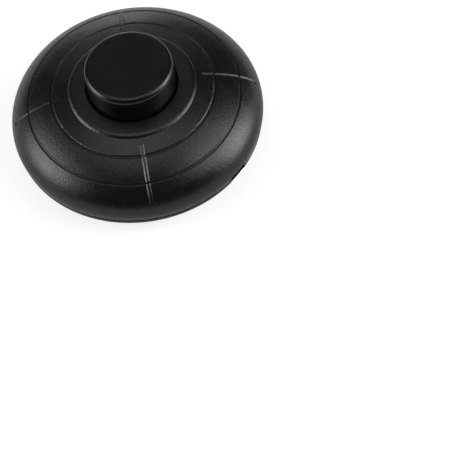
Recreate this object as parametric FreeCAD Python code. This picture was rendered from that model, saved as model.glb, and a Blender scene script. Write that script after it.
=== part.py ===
import FreeCAD, Part
import math
import os

from FreeCAD import Vector

# Round in-line foot switch for a lamp cord. Millimetres, +Z up, the origin at the middle of the
# underside. The cord runs along X: it enters at +X and leaves at -X.
# Every height is measured from the underside, every radius from the button's axis.

# Outer form
overall_diameter = 62.0
overall_height = 26.0
widest_height = 6.84
dome_rise = 12.72
rim_draw_in = 0.26
rim_bulge_share = 0.75
parting_height = 5.25
parting_chamfer = 0.1
shadow_gap_height = 0.35
shadow_gap_depth = 0.8

# Cover
cover_wall = 2.0
collar_radius = 15.7
collar_slope = 2.7
collar_edge_round = 1.5
collar_edge_angle = 52.0
inner_ring_gap = 4.4
outer_ring_inset = 4.95
ring_groove_floor_width = 0.2
ring_lip_round = 0.5
ring_lip_start = 8.0
ring_lip_end = 65.0
radial_groove_count = 4
radial_groove_first_angle = 45.0
radial_groove_gap = 1.5
radial_groove_inset = 1.1
radial_groove_floor_width = 0.4
radial_groove_wall_angle = 30.0
radial_groove_depth = 0.2
bore_edge_round = 0.3
guide_tube_wall = 1.9
guide_tube_bottom = 15.0
cover_web_thickness = 1.2
cover_web_bottom = 12.6
cover_web_inset = 6.0
lug_rail_thickness = 1.2
lug_rail_length = 2.4
lug_rail_bottom = 9.5
rib_bite = 0.5

# Button
button_radius = 10.8
button_clearance = 0.35
button_edge_round = 1.2
button_wall = 1.4
button_top_thickness = 1.8
button_travel = 4.0
flange_width = 1.8
flange_thickness = 1.3
flange_gap = 0.1
lug_width = 3.0
lug_reach = 1.7
lug_clearance = 0.2
stem_bore_radius = 3.0

# Cam teeth: the button's stem turns the rotor by this angle over its travel
cam_teeth = 4
cam_turn = 50.0
cam_inner_radius = 3.4
cam_outer_radius = 6.2
cam_gap = 0.1
cam_peak_land = 6.0
cam_blunt_angle = 1.5
cam_root_room = 0.5

# Rotor and its pin
pin_radius = 1.5
pin_height = 9.0
pin_floor = 0.9
pin_running_gap = 0.05
rotor_lift = 0.05
rotor_hub_side = 4.6
rotor_hub_height = 1.6
rotor_disc_thickness = 1.2
rotor_disc_radius = 7.9
rotor_disc_flat = 7.3
cam_root_height = 0.6

# Contact bridge and tips
bridge_thickness = 0.6
bridge_arm_width = 3.6
bridge_reach = 9.6
bridge_hub_radius = 4.2
tip_centre_radius = 8.3
bridge_tip_radius = 1.1
bridge_tip_height = 0.45
fixed_tip_radius = 1.3
fixed_tip_height = 0.4
contact_gap = 0.05

# Fixed contacts, neutral link and their screws
strip_thickness = 0.7
strip_width = 3.6
strip_start = 6.8
terminal_x = 14.0
terminal_y = 8.2
terminal_pad_side = 6.0
neutral_x = 8.0
neutral_y = -15.6
neutral_width = 3.4
platform_margin = 0.4
washer_side = 5.6
washer_thickness = 0.8
terminal_screw_radius = 1.45
terminal_head_radius = 2.6
terminal_head_height = 1.8
terminal_screw_tip = 1.0

# Base
floor_thickness = 2.2
foot_inset = 4.0
foot_round = 0.5
band_bottom = 3.9
band_inset = 0.1
band_draft = 0.09
band_foot_set_in = 0.35
band_foot_height = 0.4
floor_edge_inset = 5.2
lip_wall = 1.4
lip_height = 1.5
lip_clearance = 0.2
lip_root_height = 4.2
boss_radius = 3.4
boss_height = 3.6

# Cord inlets and clamps
inlet_width = 5.6
inlet_floor = 3.5
inlet_relief = 1.1
inlet_corner = 0.8
trough_lead = 3.5
clamp_inset = 8.5
clamp_screw_y = 6.2
clamp_post_radius = 2.3
clamp_post_top = 5.3
clamp_length = 17.0
clamp_width = 5.0
clamp_thickness = 2.0
clamp_corner = 1.5
clamp_ridge_height = 0.8
clamp_ridge_width = 1.4
clamp_screw_radius = 1.2
clamp_head_radius = 2.2
clamp_head_height = 1.5
clamp_screw_tip = 1.2

# Inner cover, its posts and the detent leaves in them
post_distance = 13.0
post_angle = 135.0
post_radius = 2.6
inner_cover_gap = 0.4
inner_cover_thickness = 1.2
inner_cover_radius = 10.4
inner_cover_bore = 6.6
ear_radius = 3.0
spring_collar_inner = 8.4
spring_collar_wall = 0.8
spring_collar_height = 1.0
post_screw_radius = 1.1
post_screw_tip = 1.4
post_head_radius = 2.0
post_head_height = 1.2
leaf_thickness = 0.3
leaf_height = 1.1
leaf_clearance = 0.15
leaf_tail_length = 2.5
leaf_tail_angle = 25.0
leaf_free_x = 4.5
leaf_root_gap = 0.1

# Return spring
spring_mean_radius = 7.5
spring_wire_radius = 0.4
spring_turns = 4.5

# Cover screws
cover_screw_y = 22.0
pillar_radius = 4.4
pillar_top = 6.0
pillar_gap = 0.1
cover_boss_radius = 3.2
cover_screw_radius = 1.45
cover_screw_clearance = 0.35
cover_screw_end = 11.5
well_radius = 3.3
well_depth = 3.4
cover_head_radius = 2.9
cover_head_height = 1.9

# Fits and screw details
seat_gap = 0.02
slot_width = 0.8
slot_depth = 0.8
head_round_share = 0.3
hole_below_tip = 0.2
pin_chamfer = 0.3

# Working allowances: how deep a feature is rooted in its piece, and how far a cut runs past it
root_overlap = 0.3
cut_overrun = 1.0
groove_overrun = 0.4
ramp_overrun = 3.0
match_tolerance = 0.001

# Worked out from the sizes above
outer_radius = overall_diameter / 2.0
rim_radius = outer_radius - rim_draw_in
inner_wall_radius = outer_radius - cover_wall
ring_groove_radii = (collar_radius + inner_ring_gap, outer_radius - outer_ring_inset)
radial_groove_start = collar_radius + radial_groove_gap
radial_groove_end = outer_radius - radial_groove_inset
clamp_x = outer_radius - clamp_inset
trough_start = clamp_x - trough_lead
lip_outer = inner_wall_radius - lip_clearance
foot_radius = outer_radius - foot_inset
floor_edge_radius = outer_radius - floor_edge_inset
inlet_top = parting_height + inlet_relief
bore_radius = button_radius + button_clearance
guide_tube_radius = bore_radius + guide_tube_wall
flange_radius = button_radius + flange_width
flange_top = guide_tube_bottom - flange_gap
flange_bottom = flange_top - flange_thickness
lug_radius = flange_radius + lug_reach
rotor_bottom = boss_height + rotor_lift
disc_bottom = rotor_bottom + rotor_hub_height
disc_top = disc_bottom + rotor_disc_thickness
cam_root = disc_top + cam_root_height
cam_peak = cam_root + button_travel
stem_tip = cam_peak + cam_gap
cam_rise_per_degree = button_travel / cam_turn
bridge_bottom = disc_bottom - bridge_thickness
fixed_tip_top = bridge_bottom - bridge_tip_height - contact_gap
strip_top = fixed_tip_top - fixed_tip_height
strip_bottom = strip_top - strip_thickness
inner_cover_bottom = disc_top + inner_cover_gap
inner_cover_top = inner_cover_bottom + inner_cover_thickness
button_ceiling = overall_height - button_top_thickness
leaf_inner_y = rotor_disc_radius + leaf_clearance
leaf_bottom = disc_top - leaf_height


def block(x_range, y_range, z_range):
    size = (x_range[1] - x_range[0], y_range[1] - y_range[0], z_range[1] - z_range[0])
    return Part.makeBox(size[0], size[1], size[2], Vector(x_range[0], y_range[0], z_range[0]))


def post(radius, bottom, top, x=0.0, y=0.0):
    return Part.makeCylinder(radius, top - bottom, Vector(x, y, bottom))


def tube(inner, outer, bottom, top):
    return post(outer, bottom, top).cut(post(inner, bottom, top))


def turned(shape, degrees):
    copy = shape.copy()
    copy.rotate(Vector(0, 0, 0), Vector(0, 0, 1), degrees)
    return copy


def opposite_pair(shape):
    return [shape, turned(shape, 180.0)]


def joined(first, others):
    result = first
    for shape in others:
        result = result.fuse(shape)
    return result.removeSplitter()


def without(first, others):
    result = first
    for shape in others:
        result = result.cut(shape)
    return result


def section_point(radius, height):
    return Vector(radius, 0, height)


def line(start, end):
    return Part.LineSegment(section_point(*start), section_point(*end)).toShape()


def lines(points):
    return [line(start, end) for start, end in zip(points, points[1:])]


def revolved(edges, angle=360.0):
    face = Part.Face(Part.Wire(edges))
    return face.revolve(Vector(0, 0, 0), Vector(0, 0, 1), angle)


def dome_height(radius, inset=0.0):
    share = radius / (outer_radius - inset)
    return widest_height + (dome_rise - inset) * math.sqrt(1.0 - share * share)


def dome_arc(from_radius, to_radius, inset=0.0):
    # A stretch of the dome's ellipse, which stays upright in the section plane
    half_width = outer_radius - inset
    ellipse = Part.Ellipse(
        section_point(half_width, widest_height),
        section_point(0, widest_height + dome_rise - inset),
        section_point(0, widest_height),
    )
    angles = [math.acos(radius / half_width) for radius in (from_radius, to_radius)]
    return Part.ArcOfEllipse(ellipse, min(angles), max(angles)).toShape()


def dome_under(inset):
    # Solid below the dome's ellipse, to trim what hangs from the cover's ceiling
    half_width = outer_radius - inset
    crown = widest_height + dome_rise - inset
    edges = [
        dome_arc(half_width, 0.0, inset),
        line((0, crown), (0, 0)),
        line((0, 0), (half_width, 0)),
        line((half_width, 0), (half_width, widest_height)),
    ]
    return revolved(edges)


def ring_groove(radius):
    # Narrow groove round the dome between two rounded lips
    slope_x = radius / outer_radius ** 2
    slope_z = (dome_height(radius) - widest_height) / dome_rise ** 2
    length = math.hypot(slope_x, slope_z)
    outward = section_point(slope_x / length, slope_z / length)
    down = section_point(slope_z / length, -slope_x / length)
    middle = section_point(radius, dome_height(radius))
    start, end = math.radians(ring_lip_start), math.radians(ring_lip_end)
    half_floor = ring_groove_floor_width / 2.0
    half_width = half_floor + ring_lip_round * (math.sin(end) - math.sin(start))

    def lip_point(side, angle):
        across = half_width + ring_lip_round * (math.sin(start) - math.sin(angle))
        depth = ring_lip_round * (math.cos(start) - math.cos(angle))
        return middle + down * (side * across) - outward * depth

    def above(side):
        rise = groove_overrun * math.tan(start)
        return middle + down * (side * (half_width + groove_overrun)) + outward * rise

    edges = []
    for side in (-1, 1):
        points = [lip_point(side, angle) for angle in (start, (start + end) / 2.0, end)]
        edges.append(Part.LineSegment(above(side), points[0]).toShape())
        edges.append(Part.Arc(*points).toShape())
    edges.append(Part.LineSegment(lip_point(-1, end), lip_point(1, end)).toShape())
    edges.append(Part.LineSegment(above(-1), above(1)).toShape())
    return revolved(Part.__sortEdges__(edges))


def radial_groove(angle):
    # Flat-bottomed groove with sloping walls, swept down the dome
    path = dome_arc(radial_groove_start, radial_groove_end)
    start = path.valueAt(path.FirstParameter)
    across = Vector(0, 1, 0)
    outward = path.tangentAt(path.FirstParameter).cross(across)
    if outward.z < 0:
        outward = outward.negative()
    wall_run = 1.0 / math.tan(math.radians(radial_groove_wall_angle))
    corners = []
    for side, height in ((-1, 0.0), (1, 0.0), (1, 2.0), (-1, 2.0), (-1, 0.0)):
        rise = height * radial_groove_depth
        half = radial_groove_floor_width / 2.0 + rise * wall_run
        corners.append(start + across * (side * half) + outward * (rise - radial_groove_depth))
    groove = Part.Wire([path]).makePipeShell([Part.makePolygon(corners)], True, True)
    return turned(groove, angle)


def circles_at(shape, radius, height):
    found = []
    for edge in shape.Edges:
        curve = edge.Curve
        if not isinstance(curve, Part.Circle):
            continue
        if abs(curve.Radius - radius) < match_tolerance and abs(curve.Center.z - height) < match_tolerance:
            found.append(edge)
    return found


def inlet_cut():
    # Cord inlets at both ends of X, through the base's rim and its inner trough
    half = inlet_width / 2.0
    top = parting_height + lip_height + cut_overrun
    cut = block((trough_start, outer_radius + cut_overrun), (-half, half), (inlet_floor, top))
    low_edges = []
    for edge in cut.Edges:
        box = edge.BoundBox
        if box.ZMax < inlet_floor + match_tolerance and box.XLength > inlet_corner:
            low_edges.append(edge)
    return opposite_pair(cut.makeFillet(inlet_corner, low_edges))


def screw(head_radius, head_height, seat, shank_radius, tip, x=0.0, y=0.0, upward=False):
    # Slotted pan-head screw that stands on its seat, with its shank towards the tip
    if upward:
        head = post(head_radius, seat - head_height, seat, x, y)
        shank = post(shank_radius, seat, tip, x, y)
        slot_range = (seat - head_height - cut_overrun, seat - head_height + slot_depth)
        rim = seat - head_height
    else:
        head = post(head_radius, seat, seat + head_height, x, y)
        shank = post(shank_radius, tip, seat, x, y)
        slot_range = (seat + head_height - slot_depth, seat + head_height + cut_overrun)
        rim = seat + head_height
    head = head.makeFillet(head_height * head_round_share, circles_at(head, head_radius, rim))
    half = slot_width / 2.0
    slot_reach = head_radius + cut_overrun
    slot = block((x - half, x + half), (y - slot_reach, y + slot_reach), slot_range)
    return joined(head, [shank]).cut(slot)


def collar_edge():
    # Rounded edge from the dome up to the collar's gently sloping top, and the top's height at the bore
    foot = section_point(collar_radius, dome_height(collar_radius))

    def outward(angle):
        return section_point(math.sin(math.radians(angle)), math.cos(math.radians(angle)))

    centre = foot - outward(collar_edge_angle) * collar_edge_round
    middle = centre + outward((collar_edge_angle + collar_slope) / 2.0) * collar_edge_round
    lip = centre + outward(collar_slope) * collar_edge_round
    bore_top = lip.z + (lip.x - bore_radius) * math.tan(math.radians(collar_slope))
    return Part.Arc(foot, middle, lip).toShape(), bore_top


def make_top_cover():
    edge_arc, bore_top = collar_edge()
    guide_inner_top = dome_height(guide_tube_radius, cover_wall)
    bulge_radius = rim_radius + rim_bulge_share * rim_draw_in
    rim_middle = section_point(bulge_radius, (parting_height + widest_height) / 2.0)
    rim_start = (rim_radius, parting_height + parting_chamfer)
    rim_arc = Part.Arc(section_point(*rim_start), rim_middle, section_point(outer_radius, widest_height))
    edges = lines([
        (inner_wall_radius, parting_height),
        (rim_radius - parting_chamfer, parting_height),
        rim_start,
    ])
    edges.append(rim_arc.toShape())
    edges.append(dome_arc(outer_radius, collar_radius))
    edges.append(edge_arc)
    collar_lip = edge_arc.valueAt(edge_arc.LastParameter)
    edges.extend(lines([
        (collar_lip.x, collar_lip.z),
        (bore_radius, bore_top),
        (bore_radius, guide_tube_bottom),
        (guide_tube_radius, guide_tube_bottom),
        (guide_tube_radius, guide_inner_top),
    ]))
    edges.append(dome_arc(guide_tube_radius, inner_wall_radius, cover_wall))
    edges.append(line((inner_wall_radius, widest_height), (inner_wall_radius, parting_height)))
    shell = revolved(edges)
    shell = shell.makeFillet(bore_edge_round, circles_at(shell, bore_radius, bore_top))

    grooves = [ring_groove(radius) for radius in ring_groove_radii]
    for index in range(radial_groove_count):
        angle = radial_groove_first_angle + index * 360.0 / radial_groove_count
        grooves.append(radial_groove(angle))
    shell = without(shell, grooves)

    ceiling = widest_height + dome_rise
    hanging = []
    boss = post(cover_boss_radius, pillar_top + pillar_gap, ceiling, 0, cover_screw_y)
    hanging.extend(opposite_pair(boss))
    half_web = cover_web_thickness / 2.0
    rib_start = guide_tube_radius - rib_bite
    web_x = (rib_start, outer_radius - cover_web_inset)
    web = block(web_x, (-half_web, half_web), (cover_web_bottom, ceiling))
    for index in range(radial_groove_count):
        hanging.append(turned(web, radial_groove_first_angle + index * 360.0 / radial_groove_count))
    rail_inner = lug_width / 2.0 + lug_clearance
    rail_y = (rib_start, guide_tube_radius + lug_rail_length)
    for side in (-1, 1):
        rail_x = sorted((side * rail_inner, side * (rail_inner + lug_rail_thickness)))
        rail = block(rail_x, rail_y, (lug_rail_bottom, ceiling))
        hanging.extend(opposite_pair(rail))
    flange_way = post(flange_radius + lug_clearance, 0, guide_tube_bottom)
    room = without(dome_under(cover_wall / 2.0), [flange_way, post(rib_start, 0, ceiling)])
    hanging = [shape.common(room) for shape in hanging]
    cover = joined(shell, hanging)

    pilot_top = cover_screw_end + hole_below_tip
    pilot = post(cover_screw_radius + seat_gap, pillar_top, pilot_top, 0, cover_screw_y)
    half = inlet_width / 2.0
    relief_x = (trough_start, outer_radius + cut_overrun)
    relief = block(relief_x, (-half, half), (0, inlet_top))
    return without(cover, opposite_pair(pilot) + opposite_pair(relief))


def make_push_button():
    body = post(button_radius, flange_bottom, overall_height)
    body = body.makeFillet(button_edge_round, circles_at(body, button_radius, overall_height))
    flange = post(flange_radius, flange_bottom, flange_top)
    half_lug = lug_width / 2.0
    lug = block((-half_lug, half_lug), (0, lug_radius), (flange_bottom, flange_top))
    body = joined(body, [flange] + opposite_pair(lug))
    hollow = post(button_radius - button_wall, flange_bottom - cut_overrun, button_ceiling)
    crown_root = stem_tip + button_travel + cam_root_room
    stem = tube(stem_bore_radius, cam_outer_radius, crown_root, button_ceiling + root_overlap)
    teeth = [turned(stem_tooth(crown_root), index * 360.0 / cam_teeth) for index in range(cam_teeth)]
    return joined(body.cut(hollow), [joined(stem, teeth)])


def helical_cut(start_angle, end_angle, low_height, clear_height):
    # Space above a helical ramp that rises from the start angle to the end angle
    inner = cam_inner_radius - cut_overrun
    outer = cam_outer_radius + cut_overrun
    turn = end_angle - start_angle
    rise = turn * cam_rise_per_degree
    helix = Part.makeHelix(360.0 * cam_rise_per_degree, rise, cam_outer_radius)
    corners = [
        section_point(inner, 0),
        section_point(outer, 0),
        section_point(outer, clear_height),
        section_point(inner, clear_height),
        section_point(inner, 0),
    ]
    swept = Part.Wire(helix).makePipeShell([Part.makePolygon(corners)], True, True)
    swept.translate(Vector(0, 0, low_height))
    return turned(swept, start_angle)


def ring_sector(start_angle, end_angle, bottom, top):
    corners = [
        (cam_inner_radius, bottom),
        (cam_outer_radius, bottom),
        (cam_outer_radius, top),
        (cam_inner_radius, top),
        (cam_inner_radius, bottom),
    ]
    return turned(revolved(lines(corners), end_angle - start_angle), start_angle)


def rotor_tooth():
    start = -cam_turn + cam_blunt_angle
    sector = ring_sector(start, cam_peak_land, cam_root - root_overlap, cam_peak)
    ramp = cam_turn + ramp_overrun
    low = cam_peak - ramp * cam_rise_per_degree
    return sector.cut(helical_cut(-ramp, 0.0, low, 2.0 * button_travel))


def stem_tooth(crown_root):
    # The slanted face has the rotor ramp's own pitch, so the two slide face to face
    end = (crown_root - stem_tip) / cam_rise_per_degree
    sector = ring_sector(cam_blunt_angle, end, stem_tip - cut_overrun, crown_root + root_overlap)
    depth = 3.0 * button_travel
    low = stem_tip - ramp_overrun * cam_rise_per_degree - depth
    return sector.cut(helical_cut(-ramp_overrun, end + ramp_overrun, low, depth))


def make_ratchet_rotor():
    half_hub = rotor_hub_side / 2.0
    hub = block((-half_hub, half_hub), (-half_hub, half_hub), (rotor_bottom, disc_bottom + root_overlap))
    disc = post(rotor_disc_radius, disc_bottom, disc_top)
    flat = rotor_disc_flat
    disc = disc.common(block((-flat, flat), (-flat, flat), (disc_bottom, disc_top)))
    drum = post(cam_outer_radius, disc_top - root_overlap, cam_root)
    teeth = [turned(rotor_tooth(), index * 360.0 / cam_teeth) for index in range(cam_teeth)]
    rotor = joined(disc, [hub, drum] + teeth)
    return rotor.cut(post(pin_radius + pin_running_gap, rotor_bottom - cut_overrun, cam_peak + cut_overrun))


def make_pivot_pin():
    pin = post(pin_radius, pin_floor, pin_height)
    return pin.makeChamfer(pin_chamfer, circles_at(pin, pin_radius, pin_height))


def make_contact_bridge():
    half = bridge_arm_width / 2.0
    level = (bridge_bottom, disc_bottom)
    bridge = joined(
        block((-bridge_reach, bridge_reach), (-half, half), level),
        [post(bridge_hub_radius, bridge_bottom, disc_bottom)],
    )
    half_hub = rotor_hub_side / 2.0 + seat_gap
    hole_level = (bridge_bottom - cut_overrun, disc_bottom + cut_overrun)
    hole = block((-half_hub, half_hub), (-half_hub, half_hub), hole_level)
    return bridge.cut(hole)


def make_bridge_contact_tips():
    bottom = bridge_bottom - bridge_tip_height
    return opposite_pair(post(bridge_tip_radius, bottom, bridge_bottom, tip_centre_radius, 0))


def make_fixed_contact_tips():
    return opposite_pair(post(fixed_tip_radius, strip_top, fixed_tip_top, tip_centre_radius, 0))


def terminal_points():
    return [
        (terminal_x, terminal_y),
        (-terminal_x, -terminal_y),
        (neutral_x, neutral_y),
        (-neutral_x, neutral_y),
    ]


def contact_outline(margin, level):
    # Angled strip from the fixed tip to the terminal pad, widened by a margin all round
    half = strip_width / 2.0 + margin
    half_pad = terminal_pad_side / 2.0 + margin
    inner = (strip_start - margin, terminal_x + half)
    arm = block(inner, (-half, half), level)
    leg = block((terminal_x - half, terminal_x + half), (-half, terminal_y), level)
    pad_x = (terminal_x - half_pad, terminal_x + half_pad)
    pad_y = (terminal_y - half_pad, terminal_y + half_pad)
    return joined(arm, [leg, block(pad_x, pad_y, level)])


def neutral_outline(margin, level):
    half = neutral_width / 2.0 + margin
    half_pad = terminal_pad_side / 2.0 + margin
    bar = block((-neutral_x, neutral_x), (neutral_y - half, neutral_y + half), level)
    pads = []
    for x in (-neutral_x, neutral_x):
        pads.append(block((x - half_pad, x + half_pad), (neutral_y - half_pad, neutral_y + half_pad), level))
    return joined(bar, pads)


def make_supply_contact():
    strip = contact_outline(0.0, (strip_bottom, strip_top))
    hole_top = strip_top + cut_overrun
    return strip.cut(post(terminal_screw_radius + seat_gap, 0, hole_top, terminal_x, terminal_y))


def make_lamp_contact():
    return turned(make_supply_contact(), 180.0)


def make_neutral_link():
    link = neutral_outline(0.0, (strip_bottom, strip_top))
    holes = []
    for x in (-neutral_x, neutral_x):
        holes.append(post(terminal_screw_radius + seat_gap, 0, strip_top + cut_overrun, x, neutral_y))
    return without(link, holes)


def make_clamp_washers():
    half = washer_side / 2.0
    top = strip_top + washer_thickness
    washers = []
    for x, y in terminal_points():
        washer = block((x - half, x + half), (y - half, y + half), (strip_top, top))
        washers.append(washer.cut(post(terminal_screw_radius + seat_gap, strip_top, top, x, y)))
    return washers


def make_terminal_screws():
    seat = strip_top + washer_thickness
    sizes = (terminal_head_radius, terminal_head_height, seat, terminal_screw_radius, terminal_screw_tip)
    return [screw(*sizes, x, y) for x, y in terminal_points()]


def post_points():
    angle = math.radians(post_angle)
    x = post_distance * math.cos(angle)
    y = post_distance * math.sin(angle)
    return [(x, y), (-x, -y)]


def clamp_points():
    return [(x, y) for x in (clamp_x, -clamp_x) for y in (clamp_screw_y, -clamp_screw_y)]


def make_base_plate():
    band_top_radius = rim_radius - band_inset
    band_low_radius = band_top_radius - band_draft
    lip_inner = lip_outer - lip_wall
    lip_top = parting_height + lip_height
    band_top = parting_height - shadow_gap_height
    edges = lines([
        (0, 0),
        (foot_radius, 0),
        (band_low_radius - band_foot_set_in, band_bottom - band_foot_height),
        (band_low_radius, band_bottom),
        (band_top_radius, band_top - parting_chamfer),
        (band_top_radius - parting_chamfer, band_top),
        (band_top_radius - shadow_gap_depth, band_top),
        (band_top_radius - shadow_gap_depth, parting_height),
        (lip_outer, parting_height),
        (lip_outer, lip_top),
        (lip_inner, lip_top),
        (lip_inner, lip_root_height),
        (floor_edge_radius, floor_thickness),
        (0, floor_thickness),
        (0, 0),
    ])
    dish = revolved(edges)
    dish = dish.makeFillet(foot_round, circles_at(dish, foot_radius, 0.0))

    root = floor_thickness - root_overlap
    platform = (root, strip_bottom)
    raised = opposite_pair(contact_outline(platform_margin, platform))
    raised.append(neutral_outline(platform_margin, platform))
    raised.append(post(boss_radius, root, boss_height))
    for x, y in post_points():
        raised.append(post(post_radius, root, inner_cover_bottom, x, y))
    for x, y in clamp_points():
        raised.append(post(clamp_post_radius, root, clamp_post_top, x, y))
    pillar = post(pillar_radius, root, pillar_top, 0, cover_screw_y)
    raised.extend(opposite_pair(pillar))
    room = post(lip_outer, root, inner_cover_bottom)
    base = joined(dish, [shape.common(room) for shape in raised])

    holes = inlet_cut()
    holes.append(post(pin_radius + seat_gap, pin_floor, boss_height + cut_overrun))
    for x, y in terminal_points():
        low = terminal_screw_tip - hole_below_tip
        holes.append(post(terminal_screw_radius + seat_gap, low, strip_bottom + cut_overrun, x, y))
    for x, y in post_points():
        low = post_screw_tip - hole_below_tip
        holes.append(post(post_screw_radius + seat_gap, low, inner_cover_bottom + cut_overrun, x, y))
    for x, y in clamp_points():
        low = clamp_screw_tip - hole_below_tip
        holes.append(post(clamp_screw_radius + seat_gap, low, clamp_post_top + cut_overrun, x, y))
    well = post(well_radius, -cut_overrun, well_depth, 0, cover_screw_y)
    through_radius = cover_screw_radius + cover_screw_clearance
    through = post(through_radius, 0, pillar_top + cut_overrun, 0, cover_screw_y)
    holes.extend(opposite_pair(well) + opposite_pair(through))
    leaf_slit = leaf_strip(seat_gap, inner_cover_bottom + cut_overrun)
    holes.extend(opposite_pair(leaf_slit))
    return without(base, holes)


def leaf_strip(gap, top):
    # Straight part of the detent leaf, widened by a gap where it sits in its post
    root_x = post_points()[0][0] + post_screw_radius + leaf_root_gap
    y_range = (leaf_inner_y - gap, leaf_inner_y + leaf_thickness + gap)
    return block((root_x - gap, leaf_free_x + gap), y_range, (leaf_bottom - gap, top))


def make_detent_springs():
    strip = leaf_strip(0.0, leaf_bottom + leaf_height)
    tail = block((0, leaf_tail_length), (0, leaf_thickness), (leaf_bottom, leaf_bottom + leaf_height))
    tail.rotate(Vector(0, 0, 0), Vector(0, 0, 1), leaf_tail_angle)
    tail.translate(Vector(leaf_free_x, leaf_inner_y, 0))
    return opposite_pair(joined(strip, [tail]))


def make_inner_cover():
    plate = post(inner_cover_radius, inner_cover_bottom, inner_cover_top)
    ears = [post(ear_radius, inner_cover_bottom, inner_cover_top, x, y) for x, y in post_points()]
    bridge_bar = block((-post_distance, post_distance), (-ear_radius, ear_radius),
                       (inner_cover_bottom, inner_cover_top))
    ears.append(turned(bridge_bar, post_angle))
    collar = tube(
        spring_collar_inner,
        spring_collar_inner + spring_collar_wall,
        inner_cover_top - root_overlap,
        inner_cover_top + spring_collar_height,
    )
    plate = joined(plate, ears + [collar])
    low = inner_cover_bottom - cut_overrun
    high = inner_cover_top + cut_overrun
    holes = [post(inner_cover_bore, low, high)]
    for x, y in post_points():
        holes.append(post(post_screw_radius + seat_gap, low, high, x, y))
    return without(plate, holes)


def make_inner_cover_screws():
    sizes = (post_head_radius, post_head_height, inner_cover_top, post_screw_radius, post_screw_tip)
    return [screw(*sizes, x, y) for x, y in post_points()]


def make_return_spring():
    low = inner_cover_top + spring_wire_radius
    height = button_ceiling - spring_wire_radius - low
    helix = Part.makeHelix(height / spring_turns, height, spring_mean_radius)
    start = Vector(spring_mean_radius, 0, 0)
    circle = Part.Wire([Part.Circle(start, Vector(0, 1, 0), spring_wire_radius).toShape()])
    coil = Part.Wire(helix).makePipeShell([circle], True, True)
    coil.translate(Vector(0, 0, low))
    return coil


def make_supply_cord_clamp():
    half_width = clamp_width / 2.0
    half_length = clamp_length / 2.0
    top = clamp_post_top + clamp_thickness
    x_range = (clamp_x - half_width, clamp_x + half_width)
    bar = block(x_range, (-half_length, half_length), (clamp_post_top, top))
    uprights = [edge for edge in bar.Edges if edge.BoundBox.ZLength > clamp_thickness / 2.0]
    bar = bar.makeFillet(clamp_corner, uprights)
    half_ridge = clamp_ridge_width / 2.0
    ridge_y = (-inlet_width / 2.0, inlet_width / 2.0)
    ridge = block((clamp_x - half_ridge, clamp_x + half_ridge), ridge_y,
                  (clamp_post_top - clamp_ridge_height, clamp_post_top))
    bar = joined(bar, [ridge])
    holes = [post(clamp_screw_radius + seat_gap, 0, top + cut_overrun, clamp_x, y)
             for y in (-clamp_screw_y, clamp_screw_y)]
    return without(bar, holes)


def make_lamp_cord_clamp():
    return turned(make_supply_cord_clamp(), 180.0)


def make_cord_clamp_screws():
    seat = clamp_post_top + clamp_thickness
    sizes = (clamp_head_radius, clamp_head_height, seat, clamp_screw_radius, clamp_screw_tip)
    return [screw(*sizes, x, y) for x, y in clamp_points()]


def make_cover_screws():
    sizes = (cover_head_radius, cover_head_height, well_depth, cover_screw_radius, cover_screw_end)
    return [screw(*sizes, 0, y, True) for y in (cover_screw_y, -cover_screw_y)]


sub_parts = {
    "top_cover": make_top_cover,
    "base_plate": make_base_plate,
    "push_button": make_push_button,
    "return_spring": make_return_spring,
    "ratchet_rotor": make_ratchet_rotor,
    "contact_bridge": make_contact_bridge,
    "bridge_contact_tips": make_bridge_contact_tips,
    "pivot_pin": make_pivot_pin,
    "inner_cover": make_inner_cover,
    "inner_cover_screws": make_inner_cover_screws,
    "detent_springs": make_detent_springs,
    "supply_contact": make_supply_contact,
    "lamp_contact": make_lamp_contact,
    "fixed_contact_tips": make_fixed_contact_tips,
    "neutral_link": make_neutral_link,
    "clamp_washers": make_clamp_washers,
    "terminal_screws": make_terminal_screws,
    "supply_cord_clamp": make_supply_cord_clamp,
    "lamp_cord_clamp": make_lamp_cord_clamp,
    "cord_clamp_screws": make_cord_clamp_screws,
    "cover_screws": make_cover_screws,
}

os.makedirs("parts", exist_ok=True)
for name, make in sub_parts.items():
    made = make()
    shape = Part.makeCompound(made) if isinstance(made, list) else made
    shape.exportStep(os.path.join("parts", name + ".step"))
    print(name, "solids", len(shape.Solids), "volume", round(shape.Volume, 1), "valid", shape.isValid())
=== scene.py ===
import math

import bpy
from mathutils import Matrix, Vector


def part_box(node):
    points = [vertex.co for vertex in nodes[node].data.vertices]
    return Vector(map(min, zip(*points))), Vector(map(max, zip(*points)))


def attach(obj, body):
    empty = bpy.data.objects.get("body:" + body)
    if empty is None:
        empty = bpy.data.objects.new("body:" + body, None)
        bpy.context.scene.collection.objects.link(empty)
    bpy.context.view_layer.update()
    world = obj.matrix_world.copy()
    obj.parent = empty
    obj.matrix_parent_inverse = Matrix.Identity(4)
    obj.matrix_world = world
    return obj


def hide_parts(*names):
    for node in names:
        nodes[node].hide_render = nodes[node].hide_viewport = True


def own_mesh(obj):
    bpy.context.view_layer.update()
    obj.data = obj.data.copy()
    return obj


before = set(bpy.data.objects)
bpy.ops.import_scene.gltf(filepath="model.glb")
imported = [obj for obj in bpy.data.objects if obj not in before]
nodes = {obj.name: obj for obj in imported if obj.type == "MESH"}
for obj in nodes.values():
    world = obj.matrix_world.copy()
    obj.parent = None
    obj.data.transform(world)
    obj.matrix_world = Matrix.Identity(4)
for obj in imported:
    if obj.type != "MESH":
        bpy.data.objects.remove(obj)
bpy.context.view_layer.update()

MM = 0.001
WHITE = (1.0, 1.0, 1.0, 1.0)

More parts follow.
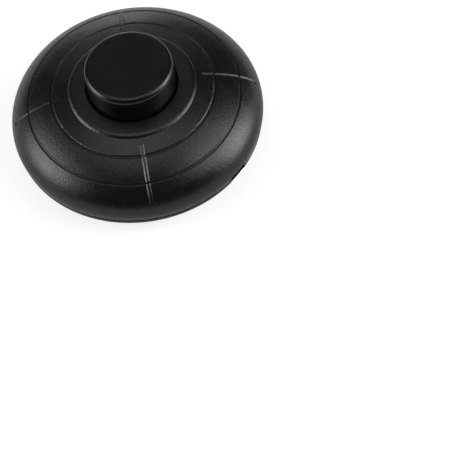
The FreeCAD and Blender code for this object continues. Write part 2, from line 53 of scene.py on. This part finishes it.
# Camera: the photograph's view, in the picture's own 470 by 470 frame
PICTURE_SIZE = 470
SENSOR_WIDTH = 36.0
FOCAL_PIXELS = 2500.0
CAMERA_AZIMUTH = math.radians(47.0)
CAMERA_ELEVATION = 0.93313
CAMERA_ROLL = 0.20130
CAMERA_DISTANCE = 610.25 * MM
AIM_HEIGHT = 13.1 * MM
AIM_PIXEL = (134.4, 97.2)
CLIP_NEAR = 0.01
CLIP_FAR = 20.0

# Floor: matt grey to the light, with a sheen added for glossy rays, and near white to the camera.
# It is clear where the foot hides it, so that light reaches the underside.
FLOOR_SIZE = 6.0
FLOOR_DEPTH = 0.1 * MM
FLOOR_GREY = 0.62
FLOOR_SHEEN = 0.20
SEEN_FLOOR_GREY = 0.34
SEEN_FLOOR_GLOW = 0.80
CLEAR_RADIUS = 26.0 * MM

# Soft boxes: degrees from the camera's side and above the floor, metres, and radiance
BOX_DISTANCE = 0.7
LEFT_BOX = {"azimuth": -92.0, "elevation": 25.0, "width": 0.26, "height": 0.26, "radiance": 1.9}
RIGHT_BOX = {"azimuth": 81.0, "elevation": 21.0, "width": 0.24, "height": 0.40, "radiance": 2.6}

# Surroundings: their dim level, and soft glows as azimuth, elevation and radius in degrees, and strength
SURROUND_LEVEL = 0.03
GLOWS = (
    (-150.0, 82.0, 28.0, 1.20),
    (178.0, 27.0, 30.0, 0.38),
    (180.0, -4.0, 15.0, 3.20),
    (0.0, -90.0, 75.0, 0.90),
    (-95.0, 24.0, 31.0, 3.55),
    (83.0, 14.0, 29.0, 3.60),
    (74.0, 47.0, 28.0, 2.70),
)

# Materials: sizes of their patterns, and the range in which most of a noise's values lie
NOISE_RANGE = (0.3, 0.7)
COLOUR_DRIFT_SIZE = 9.0 * MM
GLOSS_PATCH_SIZE = 4.0 * MM
FINE_GRAIN_RATIO = 3.0
PLASTIC_IOR = 1.5
SUBSURFACE_REACH = (0.6 * MM, 0.5 * MM, 0.4 * MM)
TARNISH_SIZE = 2.5 * MM
RUB_SIZE = 0.5 * MM
LINE_STRETCH = (0.04, 1.0, 1.0)

# Return spring
COIL_WIRE_RADIUS = 0.4 * MM
COIL_END_TURNS = 1.0
COIL_FREE_TURNS = 4.0
COIL_END_RISE = 1.6 * COIL_WIRE_RADIUS
COIL_STEPS_PER_TURN = 56
COIL_SIDES = 12


def direction(azimuth, elevation):
    """Unit vector at an azimuth from the camera's side, to its right, and a height above the floor."""
    angle = CAMERA_AZIMUTH + azimuth
    flat = math.cos(elevation)
    return Vector((math.sin(angle) * flat, -math.cos(angle) * flat, math.sin(elevation)))


def add_camera():
    """Camera at the photograph's angle, turned and leaned so that the switch lies in its corner."""
    back = direction(0.0, CAMERA_ELEVATION)
    right = Vector((math.cos(CAMERA_AZIMUTH), math.sin(CAMERA_AZIMUTH), 0.0))
    down = back.cross(right) * -1.0
    turn, lean = math.cos(CAMERA_ROLL), math.sin(CAMERA_ROLL)
    rows = (right * turn + down * lean, down * turn - right * lean, -back)
    middle = PICTURE_SIZE / 2.0
    ray = Vector((AIM_PIXEL[0] - middle, AIM_PIXEL[1] - middle, FOCAL_PIXELS)).normalized()
    off_centre = Vector((0.0, 0.0, 1.0)).rotation_difference(ray).to_matrix()
    view = off_centre @ Matrix(rows)
    place = Matrix((view[0], -view[1], -view[2])).transposed().to_4x4()
    place.translation = Vector((0.0, 0.0, AIM_HEIGHT)) + back * CAMERA_DISTANCE

    data = bpy.data.cameras.new("camera")
    data.sensor_width = SENSOR_WIDTH
    data.lens = FOCAL_PIXELS * SENSOR_WIDTH / PICTURE_SIZE
    data.clip_start = CLIP_NEAR
    data.clip_end = CLIP_FAR
    camera = bpy.data.objects.new("camera", data)
    camera.matrix_world = place
    bpy.context.scene.collection.objects.link(camera)
    bpy.context.scene.camera = camera


class Shader:
    """A node tree with short ways to add and join its nodes."""

    def __init__(self, tree):
        self.tree = tree
        self.tree.nodes.clear()

    def add(self, kind, inputs=None, **settings):
        node = self.tree.nodes.new(kind)
        for name, value in settings.items():
            setattr(node, name, value)
        for name, value in (inputs or {}).items():
            self.feed(node.inputs[name], value)
        return node

    def feed(self, socket, value):
        if isinstance(value, bpy.types.NodeSocket):
            self.tree.links.new(value, socket)
        else:
            socket.default_value = value

    def math(self, operation, first, second):
        return self.add("ShaderNodeMath", {0: first, 1: second}, operation=operation).outputs[0]

    def span(self, value, low, high, to_low, to_high):
        """The value's place between low and high, eased and carried over to another range."""
        inputs = {"Value": value, "From Min": low, "From Max": high, "To Min": to_low, "To Max": to_high}
        return self.add("ShaderNodeMapRange", inputs, interpolation_type="SMOOTHSTEP").outputs["Result"]

    def noise(self, place, size, detail, rough=0.5):
        """Noise whose features are about this many metres across."""
        inputs = {"Vector": place, "Scale": 1.0 / size, "Detail": detail, "Roughness": rough}
        return self.add("ShaderNodeTexNoise", inputs).outputs["Fac"]

    def ramp(self, value, low, dark, high, light):
        """Colour that runs from dark to light as the value goes from low to high."""
        node = self.add("ShaderNodeValToRGB", {"Fac": value})
        for stop, place, colour in zip(node.color_ramp.elements, (low, high), (dark, light)):
            stop.position = place
            stop.color = (*colour, 1.0)
        return node.outputs["Color"]

    def bump(self, height, distance, below=None):
        inputs = {"Height": height, "Distance": distance, "Strength": 1.0}
        if below is not None:
            inputs["Normal"] = below
        return self.add("ShaderNodeBump", inputs).outputs["Normal"]

    def diffuse(self, level):
        return self.add("ShaderNodeBsdfDiffuse", {"Color": (level, level, level, 1.0)}).outputs[0]

    def glow(self, strength):
        return self.add("ShaderNodeEmission", {"Color": WHITE, "Strength": strength}).outputs[0]

    def both(self, first, second):
        return self.add("ShaderNodeAddShader", {0: first, 1: second}).outputs[0]

    def either(self, factor, first, second):
        return self.add("ShaderNodeMixShader", {0: factor, 1: first, 2: second}).outputs[0]


def new_material(name):
    material = bpy.data.materials.new(name)
    material.use_nodes = True
    return material, Shader(material.node_tree)


def close(shader, inputs):
    """Ends a material with one principled surface."""
    surface = shader.add("ShaderNodeBsdfPrincipled", inputs)
    shader.add("ShaderNodeOutputMaterial", {"Surface": surface.outputs["BSDF"]})


def moulded_plastic(name, dark, light, roughness, grain_size, grain_depth, subsurface=0.0):
    """Moulded plastic: spark-eroded grain in two sizes, uneven gloss and a slight drift of colour."""
    material, shader = new_material(name)
    low, high = NOISE_RANGE
    place = shader.add("ShaderNodeTexCoord").outputs["Object"]
    drift = shader.noise(place, COLOUR_DRIFT_SIZE, 3.0)
    colour = shader.ramp(drift, low, dark, high, light)
    coarse = shader.noise(place, grain_size, 2.0, 0.6)
    fine = shader.noise(place, grain_size / FINE_GRAIN_RATIO, 2.0)
    patches = shader.noise(place, GLOSS_PATCH_SIZE, 4.0, 0.6)
    patch_gloss = shader.span(patches, low, high, -0.03, 0.03)
    fine_gloss = shader.span(fine, low, high, -0.04, 0.04)
    gloss = shader.math("ADD", shader.math("ADD", patch_gloss, fine_gloss), roughness)
    normal = shader.bump(coarse, grain_depth)
    normal = shader.bump(fine, grain_depth / FINE_GRAIN_RATIO, normal)
    inputs = {"Base Color": colour, "Roughness": gloss, "Normal": normal, "IOR": PLASTIC_IOR}
    if subsurface:
        inputs["Subsurface Weight"] = subsurface
        inputs["Subsurface Radius"] = SUBSURFACE_REACH
        inputs["Subsurface Scale"] = 1.0
    close(shader, inputs)
    return material


def worked_metal(name, dark, light, roughness, line_size, line_depth):
    """Rolled, drawn or plated metal: fine lines along one way, a soft tarnish and scattered rubs."""
    material, shader = new_material(name)
    low, high = NOISE_RANGE
    place = shader.add("ShaderNodeTexCoord").outputs["Object"]
    stretch = shader.add("ShaderNodeMapping", {"Vector": place, "Scale": LINE_STRETCH}).outputs["Vector"]
    lines = shader.noise(stretch, line_size, 3.0, 0.6)
    tarnish = shader.noise(place, TARNISH_SIZE, 5.0, 0.65)
    colour = shader.ramp(tarnish, 0.25, dark, 0.75, light)
    rubs = shader.noise(place, RUB_SIZE, 3.0, 0.7)
    tarnish_gloss = shader.span(tarnish, low, high, 0.06, -0.05)
    rub_gloss = shader.span(rubs, 0.4, high, -0.03, 0.08)
    gloss = shader.math("ADD", shader.math("ADD", tarnish_gloss, rub_gloss), roughness)
    normal = shader.bump(lines, line_depth)
    close(shader, {"Base Color": colour, "Metallic": 1.0, "Roughness": gloss, "Normal": normal})
    return material


def dress(material, *names):
    for name in names:
        nodes[name].data.materials.clear()
        nodes[name].data.materials.append(material)


def add_floor():
    """Floor that is white to the camera, less a faint shadow, and clear from below."""
    half = FLOOR_SIZE / 2.0
    corners = [(-half, -half), (half, -half), (half, half), (-half, half)]
    mesh = bpy.data.meshes.new("floor")
    mesh.from_pydata([(x, y, -FLOOR_DEPTH) for x, y in corners], [], [(0, 1, 2, 3)])
    floor = bpy.data.objects.new("floor", mesh)
    bpy.context.scene.collection.objects.link(floor)

    material, shader = new_material("studio_floor")
    rays = shader.add("ShaderNodeLightPath").outputs
    seen = shader.math("MAXIMUM", rays["Is Camera Ray"], rays["Is Transmission Ray"])
    sheen = shader.math("MULTIPLY", rays["Is Glossy Ray"], FLOOR_SHEEN)
    lit = shader.both(shader.diffuse(FLOOR_GREY), shader.glow(sheen))
    bright = shader.both(shader.diffuse(SEEN_FLOOR_GREY), shader.glow(SEEN_FLOOR_GLOW))
    above = shader.either(seen, lit, bright)
    clear = shader.add("ShaderNodeBsdfTransparent").outputs[0]
    below = shader.add("ShaderNodeNewGeometry").outputs["Backfacing"]
    place = shader.add("ShaderNodeTexCoord").outputs["Object"]
    off_axis = shader.add("ShaderNodeVectorMath", {0: place}, operation="LENGTH").outputs["Value"]
    open_floor = shader.math("MAXIMUM", below, shader.math("LESS_THAN", off_axis, CLEAR_RADIUS))
    shader.add("ShaderNodeOutputMaterial", {"Surface": shader.either(open_floor, above, clear)})
    mesh.materials.append(material)


def add_world():
    """Plain studio surroundings: white to the camera, otherwise dim with soft-edged glows."""
    world = bpy.data.worlds.new("studio")
    bpy.context.scene.world = world
    world.use_nodes = True
    shader = Shader(world.node_tree)
    way = shader.add("ShaderNodeTexCoord").outputs["Generated"]
    level = SURROUND_LEVEL
    for azimuth, elevation, radius, strength in GLOWS:
        aim = direction(math.radians(azimuth), math.radians(elevation))
        facing = shader.add("ShaderNodeVectorMath", {0: way, 1: aim}, operation="DOT_PRODUCT")
        edge = math.cos(math.radians(radius))
        lobe = shader.span(facing.outputs["Value"], edge, 1.0, 0.0, strength)
        level = shader.math("ADD", lobe, level)
    rays = shader.add("ShaderNodeLightPath").outputs
    seen = shader.math("MAXIMUM", rays["Is Camera Ray"], rays["Is Transmission Ray"])
    strength = shader.math("MAXIMUM", level, seen)
    background = shader.add("ShaderNodeBackground", {"Color": WHITE, "Strength": strength})
    shader.add("ShaderNodeOutputWorld", {"Surface": background.outputs[0]})


def add_soft_box(name, azimuth, elevation, width, height, radiance):
    """Area lamp of this radiance, aimed at the switch and hidden from the camera."""
    data = bpy.data.lights.new(name, "AREA")
    data.shape = "RECTANGLE"
    data.size = width
    data.size_y = height
    data.energy = radiance * math.pi * width * height
    box = bpy.data.objects.new(name, data)
    way = direction(math.radians(azimuth), math.radians(elevation))
    box.location = way * BOX_DISTANCE
    box.rotation_euler = way.to_track_quat("Z", "Y").to_euler()
    box.visible_camera = False
    bpy.context.scene.collection.objects.link(box)


def coil_path(mean_radius, bottom, rise):
    """Points along the wire's middle: a closed turn at each end and an even pitch between them."""
    turns = COIL_FREE_TURNS + 2.0 * COIL_END_TURNS
    points = []
    for step in range(int(turns * COIL_STEPS_PER_TURN) + 1):
        turn = step / COIL_STEPS_PER_TURN
        if turn < COIL_END_TURNS:
            height = COIL_END_RISE * turn / COIL_END_TURNS
        elif turn > turns - COIL_END_TURNS:
            height = rise - COIL_END_RISE * (turns - turn) / COIL_END_TURNS
        else:
            height = COIL_END_RISE + (rise - 2.0 * COIL_END_RISE) * (turn - COIL_END_TURNS) / COIL_FREE_TURNS
        angle = 2.0 * math.pi * turn
        points.append(Vector((mean_radius * math.cos(angle), mean_radius * math.sin(angle), bottom + height)))
    return points


def wire_mesh(name, points):
    """Round wire along the points, flat at both ends."""
    last = len(points) - 1
    vertices = []
    for index, point in enumerate(points):
        before = points[max(index - 1, 0)]
        after = points[min(index + 1, last)]
        along = (after - before).normalized()
        out = Vector((point.x, point.y, 0.0)).normalized()
        side = along.cross(out).normalized()
        for corner in range(COIL_SIDES):
            angle = 2.0 * math.pi * corner / COIL_SIDES
            vertices.append(point + (out * math.cos(angle) + side * math.sin(angle)) * COIL_WIRE_RADIUS)
    faces = [tuple(reversed(range(COIL_SIDES))), tuple(range(last * COIL_SIDES, (last + 1) * COIL_SIDES))]
    for index in range(last):
        start = index * COIL_SIDES
        for corner in range(COIL_SIDES):
            after = (corner + 1) % COIL_SIDES
            upper = start + COIL_SIDES
            faces.append((start + corner, start + after, upper + after, upper + corner))
    mesh = bpy.data.meshes.new(name)
    mesh.from_pydata(vertices, [], faces)
    mesh.update()
    for face in mesh.polygons:
        face.use_smooth = len(face.vertices) == 4
    return mesh


def coil_spring():
    """Return spring with closed end turns, which stands in for the plain one."""
    low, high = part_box("return_spring")
    rise = (high.z - low.z) - 2.0 * COIL_WIRE_RADIUS
    path = coil_path(high.x - COIL_WIRE_RADIUS, low.z + COIL_WIRE_RADIUS, rise)
    coil = bpy.data.objects.new("return_coil", wire_mesh("return_coil", path))
    bpy.context.scene.collection.objects.link(coil)
    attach(coil, "housing")
    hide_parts("return_spring")
    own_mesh(coil)
    return coil


add_camera()
add_floor()
add_world()
add_soft_box("left_box", **LEFT_BOX)
add_soft_box("right_box", **RIGHT_BOX)

cover_black = moulded_plastic(
    "cover_black", dark=(0.0042, 0.0042, 0.0045), light=(0.0058, 0.0058, 0.0064),
    roughness=0.28, grain_size=0.55 * MM, grain_depth=0.060 * MM,
)
base_black = moulded_plastic(
    "base_black", dark=(0.0040, 0.0040, 0.0042), light=(0.0055, 0.0055, 0.0056),
    roughness=0.40, grain_size=0.40 * MM, grain_depth=0.012 * MM,
)
button_black = moulded_plastic(
    "button_black", dark=(0.0040, 0.0040, 0.0043), light=(0.0052, 0.0052, 0.0058),
    roughness=0.20, grain_size=0.30 * MM, grain_depth=0.004 * MM,
)
nylon = moulded_plastic(
    "nylon", dark=(0.58, 0.56, 0.49), light=(0.66, 0.64, 0.58),
    roughness=0.42, grain_size=0.35 * MM, grain_depth=0.008 * MM, subsurface=0.15,
)
brass = worked_metal(
    "rolled_brass", dark=(0.55, 0.38, 0.15), light=(0.78, 0.58, 0.27),
    roughness=0.28, line_size=0.30 * MM, line_depth=0.003 * MM,
)
silver = worked_metal(
    "silver_alloy", dark=(0.70, 0.69, 0.66), light=(0.87, 0.86, 0.83),
    roughness=0.24, line_size=0.20 * MM, line_depth=0.002 * MM,
)
zinc = worked_metal(
    "zinc_plate", dark=(0.52, 0.53, 0.53), light=(0.70, 0.70, 0.68),
    roughness=0.30, line_size=0.18 * MM, line_depth=0.002 * MM,
)
wire_steel = worked_metal(
    "spring_wire", dark=(0.36, 0.36, 0.37), light=(0.56, 0.56, 0.56),
    roughness=0.26, line_size=0.12 * MM, line_depth=0.002 * MM,
)

dress(cover_black, "top_cover")
dress(base_black, "base_plate")
dress(button_black, "push_button")
dress(nylon, "ratchet_rotor", "inner_cover", "supply_cord_clamp", "lamp_cord_clamp")
dress(brass, "contact_bridge", "supply_contact", "lamp_contact", "neutral_link")
dress(silver, "bridge_contact_tips", "fixed_contact_tips")
dress(zinc, "pivot_pin", "clamp_washers")
dress(zinc, "inner_cover_screws", "terminal_screws", "cord_clamp_screws", "cover_screws")
dress(wire_steel, "detent_springs", "return_spring")
coil_spring().data.materials.append(wire_steel)

bpy.context.scene.view_settings.view_transform = "Standard"
